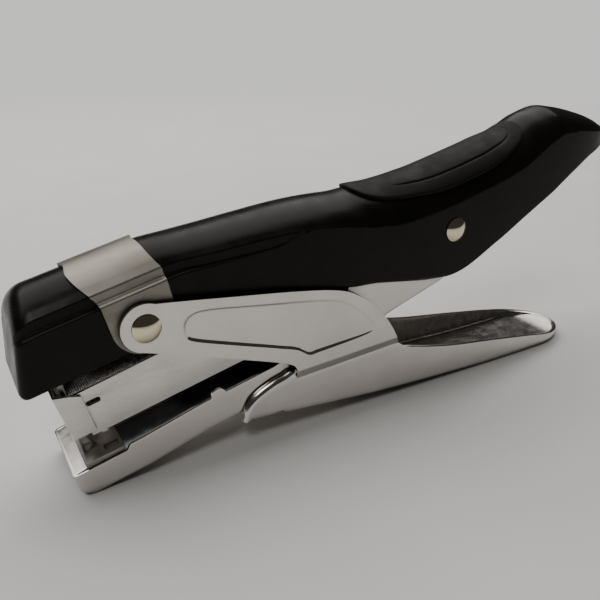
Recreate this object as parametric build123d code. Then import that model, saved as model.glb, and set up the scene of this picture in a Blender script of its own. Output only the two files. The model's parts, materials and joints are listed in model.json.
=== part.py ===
from build123d import *
import os
from math import radians, tan

# Plier stapler, in millimetres.
#
# Every piece is drawn in the "head frame": the origin is the centre of the front pivot, +X runs
# from the nose to the tail along the head, +Z is up out of the head and Y = 0 is the mid plane.
# STAND then tips the whole tool so that it stands on a table, +Z up, on the toe of the jaw and
# the flat under the lower handle.

# ---- driving dimensions -------------------------------------------------------------------------
STAND_TILT = 12.9          # the head climbs towards the tail by this angle, in degrees
STAND_X, STAND_Z = -61.6, 38.03  # front pivot, from the middle of the footprint and above the table

REAR_PIVOT = (84.2, -12.0)  # pivot of the jaw and of the magazine, (x, z) from the front pivot
RUN = 0.06                 # radial clearance of a part that turns or slides on a shaft
FIX = 0.02                 # radial clearance of a part that is held on a shaft

HEAD_HALF = 10.3           # half width of the head below its ledge
HEAD_CAP_HALF = 9.0        # half width of the head above its ledge
HEAD_TOP, HEAD_BOTTOM = 14.15, -5.3
GRIP_HALF = 11.1           # half width of the handle at the grip
HEAD_WALL_INNER = 8.55     # half width of the hollow in the head
GRIP_WALL_INNER = 9.6      # half width of the hollow in the handle

FRAME_INNER, FRAME_OUTER = 7.65, 8.45     # inner frame, half widths of its two cheeks
SADDLE_GAUGE = 0.75        # sheet thickness of the band over the head
SADDLE_GAP = 0.05

MAG_HALF, MAG_GAUGE = 7.5, 0.8            # magazine channel
MAG_TOP, MAG_BOTTOM = -9.7, -21.4
MAG_TAB_X, MAG_TAB = -15.5, 0.55          # small tab under each cheek; the anvil has a relief for it
CAP_FRONT, CAP_BACK = -22.6, -17.1        # nose cap of the magazine
STAPLE_CROWN, STAPLE_LEG, WIRE = 12.7, 6.0, 0.5
SLOT_R = 0.65              # half height of the sighting slot in each cheek
RAIL_HALF, RAIL_TOP = 5.6, -14.7
STRIP_FRONT, STRIP_BACK = -19.3, 8.0
FEED_Z = -12.1             # height of the feed rod and its spring
FEED_ROD_R = 1.1

JAW_HALF, JAW_TOE_HALF, JAW_GAUGE = 9.4, 10.5, 0.8
JAW_FLOOR, JAW_TOP, JAW_FRONT = -34.0, -26.0, -25.5
ANVIL_THICK, ANVIL_HALF, ANVIL_RELIEF = 1.2, 9.8, 0.6
LIP_HALF = 9.75            # half width of the lip turned in from the front of the jaw
ANVIL_FRONT, ANVIL_BACK = -22.1, -13.1
CLINCH_X = -20.4           # where the driver meets the anvil
TAB_X, TAB_R = 10.75, 1.75                # round tab on top of each side of the jaw

BLADE_THICK, BLADE_TIP = 0.8, -13.3

LEVER_OUTER, SCOOP_OUTER, LEVER_GAUGE = 12.5, 11.2, 1.2
LEVER_END_R = 5.5          # round front end of each lever plate
PAD_X, PAD_R = 23.0, 3.0   # thrust pad that lifts the jaw

PIVOT_FRONT_R, PIVOT_REAR_R = 2.0, 2.5
RIVET_HEAD_R, RIVET_HEAD_H = 3.2, 1.3

STAND = Location((STAND_X, 0, STAND_Z), (0, -STAND_TILT, 0))


# ---- helpers --------------------------------------------------------------------------------------
def side_face(outline):
    """Face in the XZ plane from a closed list of (x, z) points."""
    return make_face(Polyline(*[(x, 0, z) for x, z in outline], close=True))


def side_solid(face, y_low, y_high):
    """A face of the XZ plane, made solid between two heights along Y."""
    return extrude(Pos(0, y_low, 0) * face, amount=y_high - y_low, dir=(0, 1, 0))


def both_sides(face, y_inner, y_outer):
    """The same plate on the near and on the far side."""
    return side_solid(face, y_inner, y_outer) + side_solid(face, -y_outer, -y_inner)


def cross_bar(x, z, radius, y_low, y_high):
    """Round bar along Y."""
    return Pos(x, (y_low + y_high) / 2, z) * Rot(90, 0, 0) * Cylinder(radius, y_high - y_low)


def long_bar(x_low, x_high, y, z, radius):
    """Round bar along X."""
    return Pos((x_low + x_high) / 2, y, z) * Rot(0, 90, 0) * Cylinder(radius, x_high - x_low)


def block(x_low, x_high, y_low, y_high, z_low, z_high):
    centre = Pos((x_low + x_high) / 2, (y_low + y_high) / 2, (z_low + z_high) / 2)
    return centre * Box(x_high - x_low, y_high - y_low, z_high - z_low)


def domed_rivet(x, z, shaft_r, y_seat):
    """A shaft along Y with a domed head seated at +-y_seat."""
    rivet = cross_bar(x, z, shaft_r, -y_seat, y_seat)
    ball_r = (RIVET_HEAD_R**2 + RIVET_HEAD_H**2) / (2 * RIVET_HEAD_H)
    for side in (-1, 1):
        ball = Pos(x, side * (y_seat + RIVET_HEAD_H - ball_r), z) * Sphere(ball_r)
        seat = block(x - ball_r, x + ball_r, *sorted((side * y_seat, side * (y_seat + ball_r))),
                     z - ball_r, z + ball_r)
        rivet += ball & seat
    return rivet


def coil(radius, wire_r, pitch, length):
    """Helical spring along +Z from the origin."""
    path = Helix(pitch=pitch, height=length, radius=radius)
    start = Plane(origin=path @ 0, z_dir=path % 0)
    return sweep(start * Circle(wire_r), path=path)


def bent_wire(points, wire_r):
    """Straight rods through the points, with a ball at every bend and at the start."""
    wire = None
    for start, end in zip(points, points[1:]):
        start, end = Vector(*start), Vector(*end)
        rod = extrude(Plane(origin=start, z_dir=end - start) * Circle(wire_r), amount=(end - start).length)
        rod += Pos(start) * Sphere(1.12 * wire_r)
        wire = rod if wire is None else wire + rod
    return wire


# ---- upper handle ---------------------------------------------------------------------------------
# (x, half width, underside, crown, crown radius less half width) of the casing behind the head
CASING = [
    (4.0, HEAD_HALF, HEAD_BOTTOM, HEAD_TOP, 1.6),
    (7.5, HEAD_HALF, HEAD_BOTTOM, 13.88, 2.1),
    (14.0, HEAD_HALF, HEAD_BOTTOM, 12.95, 3.2),
    (22.0, HEAD_HALF, HEAD_BOTTOM - 0.1, 11.9, 4.0),
    (31.0, 10.5, -7.4, 10.85, 4.4),
    (41.0, 10.8, -10.9, 9.6, 4.0),
    (46.0, 10.9, -12.7, 8.8, 3.2),
    (52.0, 11.0, -14.9, 7.55, 2.2),
    (57.0, 11.07, -16.7, 6.4, 1.4),
    (62.0, GRIP_HALF, -18.6, 5.7, 0.8),
    (68.0, GRIP_HALF, -21.0, 4.5, 0.5),
    (74.0, GRIP_HALF, -23.2, 3.85, 0.5),
    (84.0, GRIP_HALF, -25.0, 3.35, 0.5),
    (98.0, GRIP_HALF, -22.0, 3.5, 0.5),
    (110.0, 10.9, -18.6, 4.05, 0.6),
    (115.0, 10.7, -17.3, 5.0, 0.7),
    (121.0, 10.4, -15.8, 6.35, 0.8),
    (126.0, 10.0, -14.3, 6.6, 0.9),
    (131.0, 9.5, -12.9, 5.0, 1.0),
    (140.0, 8.0, -11.2, 0.7, 1.0),
    (147.0, 5.6, -11.0, -3.6, 1.0),
    (150.8, 2.6, -10.6, -7.0, 0.8),
]
UNDER_R, UNDER_R_NECK = 0.9, 2.2          # rounding of the lower edges, and where the handle closes on them
NECK = (52.0, 58.0, 72.0, 80.0)           # the rounding grows, holds and shrinks over these stations
SECTION_STEP = 4.0         # spacing of the sections that the casing is lofted through
PAD_SKIN, PAD_SKIN_END = 0.9, 0.25        # how far the rubber grip stands proud, and at its rear end
PAD_TAPER = (104.0, 115.5)                # stretch over which it thins
LEDGE_FALL = 0.3           # outward slope of the ledge
# (x, half width, height) of the ledge that makes the top of the head narrower
LEDGE = [(-30, HEAD_CAP_HALF, 7.7), (10, HEAD_CAP_HALF, 7.7), (19, 9.5, 6.3), (29, 10.0, 4.8),
         (35, 10.3, 4.1), (39, 10.5, 4.75), (42, 10.9, 5.6), (44, 11.2, 6.4)]


def along(x, column):
    """One column of CASING at x, smooth and without overshoot between the listed stations."""
    xs, values = [row[0] for row in CASING], [row[column] for row in CASING]
    secants = [(v1 - v0) / (x1 - x0) for x0, x1, v0, v1 in zip(xs, xs[1:], values, values[1:])]
    slopes = [0.0]
    for before, after in zip(secants, secants[1:]):
        slopes.append(2 * before * after / (before + after) if before * after > 0 else 0.0)
    slopes.append(secants[-1])
    i = max(k for k in range(len(xs) - 1) if xs[k] <= x)
    span = xs[i + 1] - xs[i]
    t = (x - xs[i]) / span
    return ((1 + 2 * t) * (1 - t)**2 * values[i] + t * (1 - t)**2 * span * slopes[i]
            + t * t * (3 - 2 * t) * values[i + 1] + t * t * (t - 1) * span * slopes[i + 1])


def under_radius(x):
    """Rounding of the lower edges of the casing at x."""
    rise, fall = (x - NECK[0]) / (NECK[1] - NECK[0]), (NECK[3] - x) / (NECK[3] - NECK[2])
    return UNDER_R + (UNDER_R_NECK - UNDER_R) * min(max(min(rise, fall), 0.0), 1.0)


def casing_section(x, half, low, top, extra):
    """Section across the casing: flat underside, upright flanks and an arched crown."""
    crown = half + extra
    side = top - crown + (crown**2 - half**2)**0.5
    r = under_radius(x)
    corner = r * (1 - 0.5**0.5)
    plane = Plane(origin=(x, 0, 0), x_dir=(0, 1, 0), z_dir=(1, 0, 0))
    edges = [Line((-half + r, low), (half - r, low)),
             ThreePointArc((half - r, low), (half - corner, low + corner), (half, low + r)),
             Line((half, low + r), (half, side)),
             ThreePointArc((half, side), (0, top), (-half, side)),
             Line((-half, side), (-half, low + r)),
             ThreePointArc((-half, low + r), (-half + corner, low + corner), (-half + r, low))]
    return plane * make_face(edges)


def no_skin(_x):
    return 0.0


def pad_skin(x):
    """Thickness of the rubber grip at x."""
    start, end = PAD_TAPER
    t = min(max((x - start) / (end - start), 0.0), 1.0)
    return PAD_SKIN - (PAD_SKIN - PAD_SKIN_END) * t * t * (3 - 2 * t)


def casing_body(x_start, skin=no_skin):
    """The outer form of the casing behind x_start, grown outwards all round by skin(x)."""
    x_end = CASING[-1][0]
    count = round((x_end - x_start) / SECTION_STEP)
    stations = [x_start + (x_end - x_start) * k / count for k in range(count + 1)]
    return loft([casing_section(x, along(x, 1) + skin(x), along(x, 2) - skin(x), along(x, 3) + skin(x),
                                along(x, 4)) for x in stations])


def head_body():
    """Straight block of the head with its sloping, rounded nose."""
    x_back = CASING[0][0]
    body = extrude(casing_section(x_back, *CASING[0][1:]), amount=x_back + 29, dir=(-1, 0, 0))
    face = [Line((-18.2, 0, 15.5), (-18.2, 0, HEAD_TOP)),
            ThreePointArc((-18.2, 0, HEAD_TOP), (-21.5, 0, 13.2), (-23.2, 0, 10.6)),
            Line((-23.2, 0, 10.6), (-27.6, 0, -3.4)),
            ThreePointArc((-27.6, 0, -3.4), (-27.4, 0, -4.8), (-26.0, 0, HEAD_BOTTOM - 0.1)),
            Polyline((-26.0, 0, HEAD_BOTTOM - 0.1), (-26, 0, -9), (-40, 0, -9), (-40, 0, 15.5),
                     (-18.2, 0, 15.5))]
    return body - side_solid(make_face(face), -20, 20)


def ledge_cutter():
    """Material above the ledge on both flanks of the head; the ledge dies out behind the neck."""
    def section(x, inner, height):
        points = [(inner, 25), (inner, height), (16, height - LEDGE_FALL * (16 - inner)), (16, 25)]
        return make_face(Polyline(*[(x, y, z) for y, z in points], close=True))

    near = None
    for front, back in zip(LEDGE, LEDGE[1:]):
        stretch = loft([section(*front), section(*back)], ruled=True)
        near = stretch if near is None else near + stretch
    return near + mirror(near, Plane.XZ)


def casing_hollow():
    """Open underside: the magazine, jaw and frame live in here."""
    def section(x, half, top):
        plane = Plane(origin=(x, 0, (top - 45) / 2), x_dir=(0, 1, 0), z_dir=(1, 0, 0))
        return plane * Rectangle(2 * half, top + 45)

    head = loft([section(-23.2, HEAD_WALL_INNER, 7.2), section(30, HEAD_WALL_INNER, 7.2)], ruled=True)
    neck = loft([section(30, HEAD_WALL_INNER, 7.2), section(46, GRIP_WALL_INNER, 1.8),
                 section(62, GRIP_WALL_INNER, -0.6), section(99, GRIP_WALL_INNER, -1.6)], ruled=True)
    tail = loft([section(99, 7.4, -0.4), section(126, 6.4, 1.6), section(136, 5.2, -3.4)], ruled=True)
    return head + neck + tail


def handle_shell():
    body = casing_body(CASING[0][0]) + head_body() - ledge_cutter() - casing_hollow()
    body -= cross_bar(0, 0, PIVOT_FRONT_R + FIX, -20, 20)
    return body - cross_bar(*REAR_PIVOT, PIVOT_REAR_R + FIX, -20, 20)


def grip_pad():
    """Rubber skin over the grip: its lower edge sweeps down each flank and up again."""
    low_edge = Spline((58.9, 0, 14), (59.5, 0, 7.6), (61.9, 0, 5.1), (67.8, 0, 2.4), (82.5, 0, -0.6),
                      (92.0, 0, -0.9), (101.0, 0, -0.4), (107.4, 0, 0.95), (112.5, 0, 2.8),
                      (115.4, 0, 5.0), (116.6, 0, 8.5), (117.0, 0, 14))
    mask = side_solid(make_face([low_edge, Line((117.0, 0, 14), (58.9, 0, 14))]), -20, 20)
    return (casing_body(50.0, pad_skin) & mask) - casing_body(CASING[0][0], lambda x: FIX)


def inner_frame():
    cheek = side_face([(-19.0, 6.9), (30, 6.9), (46, 1.4), (62, -1.2), (91, -2.2), (92, -17), (78, -18),
                       (62, -13.5), (44, -9), (30, -5.0), (-16.2, -4.6), (-16.2, 0.2), (-19.0, 0.2)])
    frame = both_sides(cheek, FRAME_INNER, FRAME_OUTER)
    frame += block(-19.0, 30, -FRAME_OUTER, FRAME_OUTER, 6.1, 6.9)
    frame += block(-19.8, -19.0, -6.4, 6.4, -0.4, 6.9)
    frame -= cross_bar(0, 0, PIVOT_FRONT_R + FIX, -20, 20)
    frame -= cross_bar(*REAR_PIVOT, PIVOT_REAR_R + FIX, -20, 20)
    return frame - driver_rivet_shafts(1.0 + FIX)


BLADE_BACK = -19.82
BLADE_FRONT = BLADE_BACK - BLADE_THICK


def driver_rivet_shafts(radius):
    shafts = [long_bar(BLADE_FRONT - 0.02, -18.98, y, 3.2, radius) for y in (-3.6, 3.6)]
    return shafts[0] + shafts[1]


def driver_blade():
    blade = block(BLADE_FRONT, BLADE_BACK, -STAPLE_CROWN / 2 + 0.1, STAPLE_CROWN / 2 - 0.1, BLADE_TIP, 6.0)
    return blade - driver_rivet_shafts(1.0 + FIX)


def driver_rivets():
    rivets = driver_rivet_shafts(1.0)
    for y in (-3.6, 3.6):
        rivets += long_bar(BLADE_FRONT - 0.72, BLADE_FRONT - 0.02, y, 3.2, 1.7)
        rivets += long_bar(-18.98, -18.28, y, 3.2, 1.7)
    return rivets


def saddle_section(grow):
    """Outline across the head, with its ledge, grown outwards by an even amount."""
    cap, side, crown = HEAD_CAP_HALF + grow, HEAD_HALF + grow, HEAD_HALF + CASING[0][4] + grow
    top, shelf = HEAD_TOP + grow, LEDGE[0][2] + grow * (1 - LEDGE_FALL)
    ridge = top - crown + (crown**2 - cap**2)**0.5
    right = [(-14, cap, ridge), (-14, cap, shelf), (-14, side, shelf - LEDGE_FALL * (side - cap)),
             (-14, side, -30)]
    left = [(x, -y, z) for x, y, z in reversed(right)]
    over = ThreePointArc(left[-1], (-14, 0, top), right[0])
    return make_face([over, Polyline(*right, *left)])


def head_saddle():
    band = extrude(saddle_section(SADDLE_GAP + SADDLE_GAUGE), amount=28, dir=(1, 0, 0))
    band -= extrude(saddle_section(SADDLE_GAP), amount=28, dir=(1, 0, 0))
    ear = Pos(0.35, 0, 0.8) * Rot(90, 0, 0) * Cylinder(7.2, 40)
    flank = side_face([(-9.8, 20), (-10.05, 14.4), (-9.75, 13.2), (-8.9, 11.8), (-7.9, 10.3), (-7.0, 8.2),
                       (-6.85, 7.2), (-6.85, 0.8), (7.55, 0.8), (7.7, 7.6), (7.75, 10.3), (6.6, 13.0),
                       (6.2, 14.3), (5.85, 20)])
    band &= side_solid(flank, -20, 20) + ear
    return band - cross_bar(0, 0, PIVOT_FRONT_R + FIX, -20, 20)


def front_pivot_rivet():
    return domed_rivet(0, 0, PIVOT_FRONT_R, LEVER_OUTER + 0.05)


def rear_pivot_rivet():
    return domed_rivet(*REAR_PIVOT, PIVOT_REAR_R, GRIP_HALF + 0.05)


def pivot_spacer():
    """Tube on the rear rivet that keeps the magazine ears apart and carries the return spring."""
    tube = cross_bar(*REAR_PIVOT, PIVOT_REAR_R + 0.9, -6.6, 6.6)
    return tube - cross_bar(*REAR_PIVOT, PIVOT_REAR_R + RUN, -7, 7)


def return_spring():
    """Torsion spring: one leg bears on the roof of the casing, the other on the floor of the jaw."""
    x, z = REAR_PIVOT
    mean_r, wire_r, turns, pitch = 4.2, 0.55, 5, 1.3
    half = turns * pitch / 2
    spring = Pos(x, half, z) * Rot(90, 0, 0) * coil(mean_r, wire_r, pitch, turns * pitch)
    for y, way, tip in ((half, -1, (x - 13, -13.0)), (-half, 1, (x - 20, 9.2))):
        x_out = x + mean_r
        spring += bent_wire([(x_out, y, z + way * 0.15), (x_out, y, z + way * 5.0), (tip[0], y, z + tip[1])],
                            wire_r)
    return spring


def magazine_leaf_spring():
    """Leaf under the frame's roof that holds the magazine down."""
    gauge = 0.4
    top = [(28, 6.0), (21, 5.6), (10, -7.6), (7, -9.0), (2, -9.2)]
    under = [(2, -9.2 - gauge), (6.8, -9.0 - gauge), (9.6, -8.1), (20.8, 5.6 - gauge), (28, 6.0 - gauge)]
    return side_solid(side_face(top + under), -7.2, 7.2)


# ---- magazine -------------------------------------------------------------------------------------
def magazine_channel():
    cheek = side_face([(-21.7, -10.4), (-17, -10.1), (0, MAG_TOP), (60, MAG_TOP), (77, -6.6), (88, -6.6),
                       (88.4, -17), (78, -17.6), (66, MAG_BOTTOM), (-18.2, MAG_BOTTOM), (-18.2, -20.4),
                       (-21.7, -20.4)])
    channel = both_sides(cheek, MAG_HALF - MAG_GAUGE, MAG_HALF)
    channel += block(-18.2, 66, -MAG_HALF, MAG_HALF, MAG_BOTTOM, MAG_BOTTOM + MAG_GAUGE)
    for side in (-1, 1):
        channel += block(MAG_TAB_X - 0.7, MAG_TAB_X + 0.7,
                         *sorted((side * (MAG_HALF - MAG_GAUGE), side * MAG_HALF)),
                         MAG_BOTTOM - MAG_TAB, MAG_BOTTOM + 0.2)
    slot = block(-16.3, -14.3, -9, 9, -13.5 - SLOT_R, -13.5 + SLOT_R)
    slot += cross_bar(-16.3, -13.5, SLOT_R, -9, 9) + cross_bar(-14.3, -13.5, SLOT_R, -9, 9)
    return channel - slot - cross_bar(*REAR_PIVOT, PIVOT_REAR_R + RUN, -20, 20)


def magazine_front_cap():
    """Bent plate that closes the front of the magazine and wraps round its two corners."""
    gauge, gap = 0.6, 0.04
    outer = MAG_HALF + gap + gauge
    face = side_face([(CAP_FRONT, -8.3), (-19.5, -9.4), (CAP_BACK, -10.6), (CAP_BACK + 0.2, -20.1),
                      (CAP_FRONT + 0.5, -20.2)])
    cap = side_solid(face, -outer, outer)
    hollow = block(CAP_FRONT + gauge + 0.15, 0, -outer + gauge, outer - gauge, -30, 0)
    return cap - hollow


def staple_rail():
    rail = block(STRIP_FRONT - 0.1, 62, -RAIL_HALF, RAIL_HALF, MAG_BOTTOM + MAG_GAUGE + 0.01, RAIL_TOP)
    core = block(STRIP_FRONT - 1, 63, -RAIL_HALF + 0.8, RAIL_HALF - 0.8, -30, RAIL_TOP - 0.8)
    return rail - core


def staple_strip():
    outer, leg_end = STAPLE_CROWN / 2, RAIL_TOP + 0.05 + WIRE - STAPLE_LEG
    strip = block(STRIP_FRONT, STRIP_BACK, -outer, outer, leg_end, RAIL_TOP + 0.05 + WIRE)
    return strip - block(-30, 20, -outer + WIRE, outer - WIRE, -30, RAIL_TOP + 0.05)


PUSHER_FRONT, PUSHER_BACK = STRIP_BACK + 0.1, STRIP_BACK + 9.0


def pusher():
    body = block(PUSHER_FRONT, PUSHER_BACK, -6.4, 6.4, -18.6, -10.2)
    body -= block(0, 30, -RAIL_HALF - 0.1, RAIL_HALF + 0.1, -30, RAIL_TOP + 0.1)
    body += block(PUSHER_BACK - 3, PUSHER_BACK, -2.6, 2.6, -10.2, -8.6)
    return body - long_bar(0, 30, 0, FEED_Z, FEED_ROD_R + 0.1)


ANCHOR_FRONT, ANCHOR_BACK = 58.0, 60.0


def spring_anchor():
    anchor = block(ANCHOR_FRONT, ANCHOR_BACK, -6.65, 6.65, RAIL_TOP + 0.02, MAG_TOP)
    return anchor - long_bar(50, 70, 0, FEED_Z, FEED_ROD_R + FIX)


def feed_rod():
    return long_bar(4.0, 61.4, 0, FEED_Z, FEED_ROD_R)


def feed_spring():
    length = ANCHOR_FRONT - PUSHER_BACK - 0.9
    spring = coil(1.75, 0.3, length / 15, length)
    return Pos(PUSHER_BACK + 0.45, 0, FEED_Z) * Rot(0, 90, 0) * spring


# ---- jaw ------------------------------------------------------------------------------------------
def jaw_plan(inset):
    """Plan of the jaw: wide at the toe, narrower where it passes into the lower handle."""
    toe, neck, front = JAW_TOE_HALF - inset, JAW_HALF - inset, JAW_FRONT + inset
    half = [(front, toe - 1.2), (front + 1.2, toe), (-9, toe), (6, neck), (100, neck)]
    points = half + [(x, -y) for x, y in reversed(half)]
    return extrude(make_face(Polyline(*[(x, y, -50) for x, y in points], close=True)), amount=60)


def anvil_arm():
    step = JAW_TOP - ANVIL_THICK - 0.05
    outline = side_face([(JAW_FRONT, step), (ANVIL_BACK + 0.1, step), (ANVIL_BACK + 1.2, JAW_TOP),
                         (26, JAW_TOP), (36, -24.6), (44, -21.8), (48, -17.5), (52, -13.2), (58, -9.6),
                         (66, -7), (76, -5.6), (89, -5.2), (90.6, -15), (87, -22), (79, -25.9),
                         (62, -27.6), (30, JAW_FLOOR), (JAW_FRONT + 3.6, JAW_FLOOR),
                         (JAW_FRONT + 1.2, JAW_FLOOR + 1.1), (JAW_FRONT + 0.2, JAW_FLOOR + 3.4)])
    g = JAW_GAUGE
    inside = side_face([(JAW_FRONT + g, 0), (100, 0), (100, -24.8), (79, -25.9 + g), (62, -27.6 + g),
                        (30, JAW_FLOOR + g), (JAW_FRONT + 3.9, JAW_FLOOR + g),
                        (JAW_FRONT + 1.8, JAW_FLOOR + 1.8), (JAW_FRONT + g, JAW_FLOOR + 3.6)])
    arm = side_solid(outline, -15, 15) & jaw_plan(0)
    arm -= side_solid(inside, -15, 15) & jaw_plan(g)
    arm -= block(79, 100, -JAW_HALF + g, JAW_HALF - g, -40, 10)
    arm += block(JAW_FRONT + g / 2, ANVIL_FRONT - FIX, -LIP_HALF, LIP_HALF, step - g, step)
    tab = Rot(90, 0, 0) * Cylinder(TAB_R, 2 * JAW_HALF) - Rot(90, 0, 0) * Cylinder(TAB_R, 2 * (JAW_HALF - g))
    arm += Pos(TAB_X, 0, JAW_TOP) * tab
    return arm - cross_bar(*REAR_PIVOT, PIVOT_REAR_R + RUN, -20, 20)


def anvil_plate():
    plate = block(ANVIL_FRONT, ANVIL_BACK, -ANVIL_HALF, ANVIL_HALF, JAW_TOP - ANVIL_THICK, JAW_TOP)
    for side in (-1, 1):
        groove = Pos(CLINCH_X, side * 3.7, JAW_TOP + 2.2) * Rot(0, 90, 0) * Cylinder(2.9, 1.8)
        across = sorted((side * (MAG_HALF - 1.4), side * (MAG_HALF + 0.6)))
        relief = block(MAG_TAB_X - 1.7, MAG_TAB_X + 1.7, *across,
                       JAW_TOP - ANVIL_RELIEF, JAW_TOP + 1)
        plate -= groove + relief
    return plate


# ---- lower handle ---------------------------------------------------------------------------------
FLOOR_LINE = [(15.0, -36.1), (34.0, -42.6), (53.4, -48.9), (75.0, -55.2), (97.0, -61.2)]
FOOT_LENGTH = 17.0         # level stretch behind the last point of FLOOR_LINE that the tool stands on
FOOT_END = (97.0 + FOOT_LENGTH, -61.2 - FOOT_LENGTH * tan(radians(STAND_TILT)))
RIM_LINE = [(121, -63.8), (108, -58.3), (93, -52.2), (78, -46.2), (67.5, -41.0), (63.5, -38.8),
            (61.2, -36.2)]
SCOOP_FLANK, SCOOP_END = 114.0, 128.0     # where the flanks end and where the round end ends
FRONT_EDGE = [(15.0, -36.0), (16.7, -33.8), (18.4, -32.2), (20.4, -31.3), (24.8, -30.4), (28.0, -30.2),
              (30.4, -29.4)]
ROLL = 1.7                 # reach of the rolled front edge of each flank
RECESS_DEPTH = 0.35        # pressed recess in each lever plate
RECESS = [(7.4, -5.0), (7.7, -3.4), (8.8, -2.1), (10.5, -1.6), (13.0, -2.0), (25.4, -6.7), (42.3, -13.4),
          (46.5, -15.8), (50.0, -19.5), (52.6, -23.4), (54.0, -26.6), (53.7, -27.5), (52.2, -27.7),
          (36.4, -25.5), (35.3, -25.4), (34.4, -24.9), (32.0, -22.3), (27.2, -19.2), (8.6, -7.4), (7.7, -6.5)]


def scoop_plan(inset):
    """Plan of the scoop: straight flanks and a rounded end."""
    half, end, flank = SCOOP_OUTER - inset, SCOOP_END - inset, SCOOP_FLANK
    shoulder, hip = flank + 0.76 * (end - flank), 0.65 * half
    edge = [Line((0, -half), (flank, -half)),
            ThreePointArc((flank, -half), (shoulder, -hip), (end, 0)),
            ThreePointArc((end, 0), (shoulder, hip), (flank, half)),
            Line((flank, half), (0, half)), Line((0, half), (0, -half))]
    return Pos(0, 0, -90) * extrude(make_face(edge), amount=90)


def lower_handle():
    g = LEVER_GAUGE
    bottom = FLOOR_LINE + [FOOT_END, (121.0, -66.4), (126.0, -66.9), (132, -67.2)]
    scoop = side_face(bottom + [(132, -66.0), (127, -65.6)] + RIM_LINE
                      + [(30.4, -31.4), (24.0, -31.6), (18.0, -32.9), (15.6, -34.6)])
    scoop = side_solid(scoop, -20, 20) & scoop_plan(0)
    lifted = [(x, z + g) for x, z in [(0, -31.0)] + bottom]
    scoop -= side_solid(side_face(lifted + [(140, 0), (0, 0)]), -20, 20) & scoop_plan(g)
    for side in (-1, 1):
        scoop -= block(19.3, 25.0, *sorted((side * (SCOOP_OUTER - 2.2), side * 13)), -40.5, -37.6)
    plate = side_face([(-4.6, -3.2), (0.8, -6.6), (28.8, -25.0), (30.4, -28.3), (60.3, -33.4),
                       (59.4, -29.6), (57.9, -26.1), (55.3, -21.1), (52.2, -17.4), (48.5, -13.9),
                       (44.4, -11.6), (36, -7.9), (1.6, 5.3)])
    knuckle = Rot(90, 0, 0) * Cylinder(LEVER_END_R, 2 * LEVER_OUTER)
    plates = both_sides(plate, LEVER_OUTER - g, LEVER_OUTER)
    plates -= both_sides(side_face(RECESS), LEVER_OUTER - RECESS_DEPTH, LEVER_OUTER + 1)
    plates += knuckle - block(-10, 10, -LEVER_OUTER + g, LEVER_OUTER - g, -10, 10)
    return scoop + plates + joggle() + rolled_edge() - cross_bar(0, 0, PIVOT_FRONT_R + RUN, -20, 20)


def rolled_edge():
    """Bead that rolls in from the front edge of each flank."""
    path = Spline(*[(x, SCOOP_OUTER - ROLL, z) for x, z in FRONT_EDGE])
    bead = sweep(Plane(origin=path @ 0, z_dir=path % 0) * Circle(ROLL), path=path)
    bead &= block(0, 40, SCOOP_OUTER - ROLL, SCOOP_OUTER, -50, -20)
    return bead + mirror(bead, Plane.XZ)


def joggle():
    """Slanted band that steps each lever plate inwards to the flank of the scoop."""
    g = LEVER_GAUGE

    def station(x, z_high, z_low):
        points = [(LEVER_OUTER - g, z_high), (LEVER_OUTER, z_high), (SCOOP_OUTER, z_low),
                  (SCOOP_OUTER - g, z_low)]
        return make_face(Polyline(*[(x, y, z) for y, z in points], close=True))

    band = loft([station(30.4, -28.2, -31.5), station(60.9, -33.3, -36.6)], ruled=True)
    return band + mirror(band, Plane.XZ)


def thrust_pad():
    """Nylon pad on the floor of the lower handle that slides along the underside of the jaw."""
    floor = -36.1 - (PAD_X - 15.0) * 6.5 / 19.0 + LEVER_GAUGE
    crown = Pos(PAD_X, 0, JAW_FLOOR - 0.12 - PAD_R) * Rot(90, 0, 0) * Cylinder(PAD_R, 13)
    pad = crown + block(PAD_X - PAD_R, PAD_X + PAD_R, -6.5, 6.5, floor - 4, JAW_FLOOR - 0.12 - PAD_R)
    seat = LEVER_GAUGE + FIX
    under = side_face([(0, -60), (60, -60), (60, -51.4 + seat), (0, -31.0 + seat)])
    return pad - side_solid(under, -20, 20)


# ---- export ---------------------------------------------------------------------------------------
NODES = [handle_shell, grip_pad, inner_frame, driver_blade, driver_rivets, head_saddle, front_pivot_rivet,
         rear_pivot_rivet, pivot_spacer, return_spring, magazine_leaf_spring, magazine_channel,
         magazine_front_cap, staple_rail, staple_strip, pusher, spring_anchor, feed_rod, feed_spring,
         anvil_arm, anvil_plate, lower_handle, thrust_pad]

os.makedirs("parts", exist_ok=True)
for node in NODES:
    export_step(STAND * node(), f"parts/{node.__name__}.step")
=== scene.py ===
import bmesh
import bpy
import json
import numpy as np
from math import acos, cos, pi, radians, sin, tan
from mathutils import Matrix, Vector


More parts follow.
